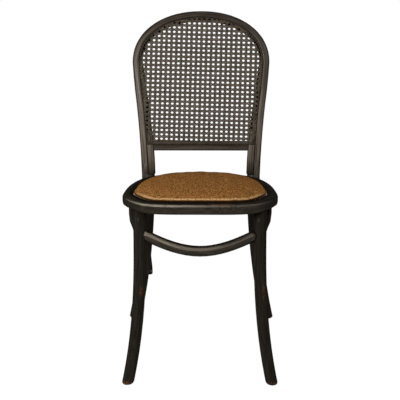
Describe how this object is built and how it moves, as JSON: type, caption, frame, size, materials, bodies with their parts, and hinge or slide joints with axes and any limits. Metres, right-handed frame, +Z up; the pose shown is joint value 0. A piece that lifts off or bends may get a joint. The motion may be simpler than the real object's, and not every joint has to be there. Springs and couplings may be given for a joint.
{
  "type": "bentwood dining chair",
  "caption": "Bentwood dining chair with an arched cane back, a round-fronted seat ring with a woven rattan pad, flared legs and bent stretchers.",
  "frame": {"origin": "middle of the chair's footprint, on the floor", "axes": "+Z up, -Y to the chair's front, +X to the right as seen by someone who faces the chair"},
  "size_m": [0.4402, 0.5082, 0.9244],
  "materials": {
    "stained_wood": "dark brown-black stain, worn satin",
    "stained_cane": "dark stained cane, satin",
    "woven_rattan": "fine woven rattan, golden brown, low sheen",
    "pale_wood": "unfinished",
    "steel": "plain zinc-plated hardware"
  },
  "bodies": {
    "root": {"back_hoop": "stained_wood", "cane_frame": "stained_wood", "back_rail": "stained_wood", "seat_ring": "stained_wood", "front_leg_left": "stained_wood", "front_leg_right": "stained_wood", "front_bow": "stained_wood", "side_brace_left": "stained_wood", "side_brace_right": "stained_wood", "cane_panel": "stained_cane", "cane_reed": "stained_cane", "seat_pad": "woven_rattan", "seat_board": "pale_wood", "bow_dowel_left": "pale_wood", "bow_dowel_right": "pale_wood", "rail_dowel_left": "pale_wood", "rail_dowel_right": "pale_wood", "seat_bolt_left": "steel", "seat_bolt_right": "steel", "seat_washer_left": "steel", "seat_washer_right": "steel", "seat_nut_left": "steel", "seat_nut_right": "steel", "brace_screw_front_left": "steel", "brace_screw_front_right": "steel", "brace_screw_rear_left": "steel", "brace_screw_rear_right": "steel", "brace_screw_top_left": "steel", "brace_screw_top_right": "steel", "seat_screw_front_left": "steel", "seat_screw_front_right": "steel", "seat_screw_rear_left": "steel", "seat_screw_rear_right": "steel"}
  },
  "joints": []
}
